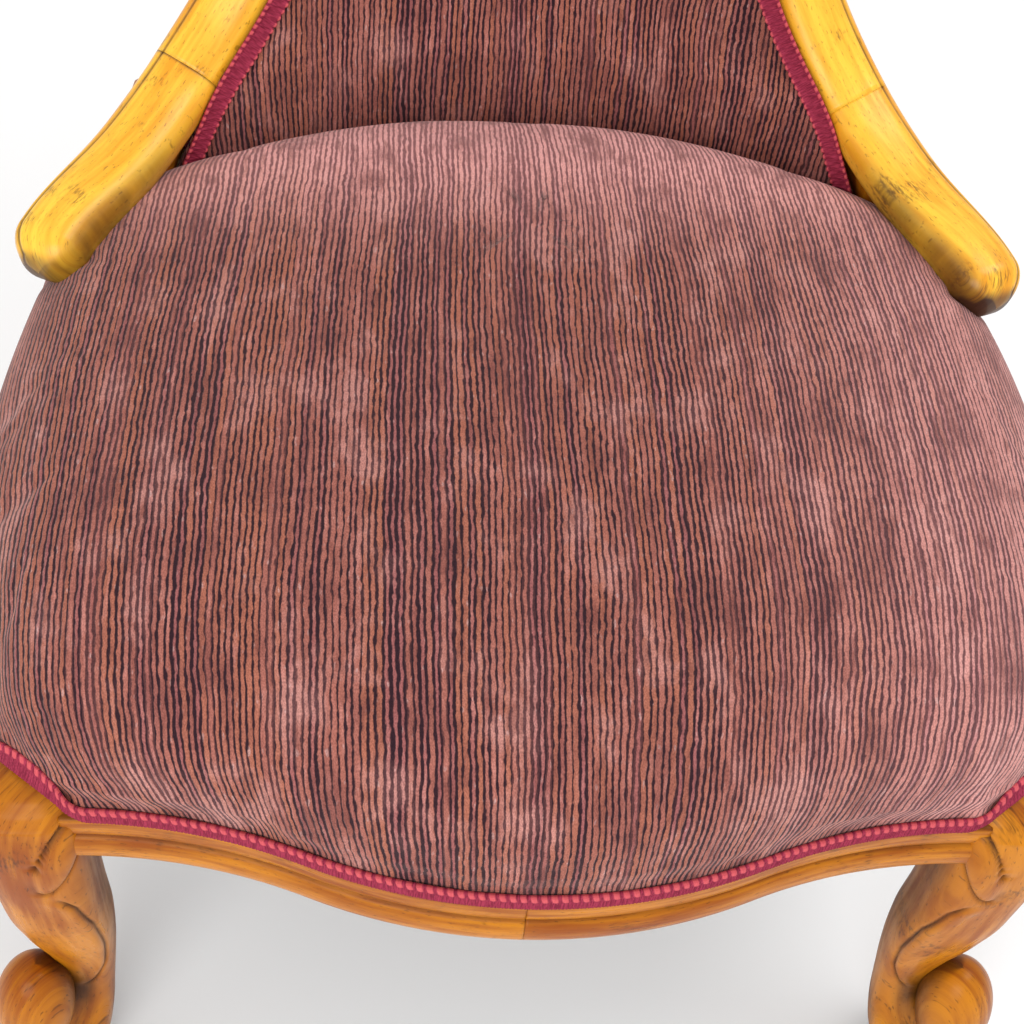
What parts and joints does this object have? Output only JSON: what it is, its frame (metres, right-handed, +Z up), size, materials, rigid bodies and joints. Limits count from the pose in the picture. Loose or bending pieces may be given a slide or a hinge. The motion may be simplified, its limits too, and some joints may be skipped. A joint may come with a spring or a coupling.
{
  "type": "grandmother chair",
  "caption": "Low upholstered armchair with a domed sprung seat, hollowed spoon back, swept show-wood arms, serpentine front rail and cabriole front legs with scrolled toes.",
  "frame": {"origin": "middle of the chair's footprint box, on the floor", "axes": "+Z up, -Y towards the front of the seat, +X towards the sitter's left hand"},
  "size_m": [0.6276, 0.6872, 0.9813],
  "materials": {
    "show_wood": "polished honey-coloured wood",
    "inner_wood": "plain unpolished wood",
    "fixing_steel": "dull",
    "spring_steel": "coppered, dull",
    "jute_webbing": "coarse herringbone weave",
    "dust_cloth": "plain weave",
    "jute_hessian": "open plain weave",
    "hair_stuffing": "curled hair",
    "striped_fabric": "ribbed chenille, matt",
    "gimp_braid": "woven braid, soft sheen"
  },
  "bodies": {
    "chair": {"front_leg_left": "show_wood", "front_leg_right": "show_wood", "rear_leg_left": "show_wood", "rear_leg_right": "show_wood", "back_upright_left": "show_wood", "back_upright_right": "show_wood", "crest_rail": "show_wood", "arm_left": "show_wood", "arm_right": "show_wood", "arm_support_left": "show_wood", "arm_support_right": "show_wood", "front_rail_left": "show_wood", "front_rail_right": "show_wood", "side_rail_left": "show_wood", "side_rail_right": "show_wood", "rear_rail": "show_wood", "front_rail_block": "inner_wood", "back_lower_rail": "inner_wood", "corner_blocks": "inner_wood", "rail_dowels": "inner_wood", "frame_dowels": "inner_wood", "frame_screws": "fixing_steel", "webbing_tacks": "fixing_steel", "seat_springs": "spring_steel", "seat_webbing": "jute_webbing", "dust_cover": "dust_cloth", "seat_hessian": "jute_hessian", "back_hessian": "jute_hessian", "seat_stuffing": "hair_stuffing", "back_stuffing": "hair_stuffing", "seat_cover": "striped_fabric", "inside_back_cover": "striped_fabric", "outside_back_cover": "striped_fabric", "gimp_front": "gimp_braid", "gimp_side_left": "gimp_braid", "gimp_side_right": "gimp_braid", "gimp_knee_left": "gimp_braid", "gimp_knee_right": "gimp_braid", "gimp_inside_back": "gimp_braid", "gimp_outside_back": "gimp_braid"}
  },
  "joints": []
}
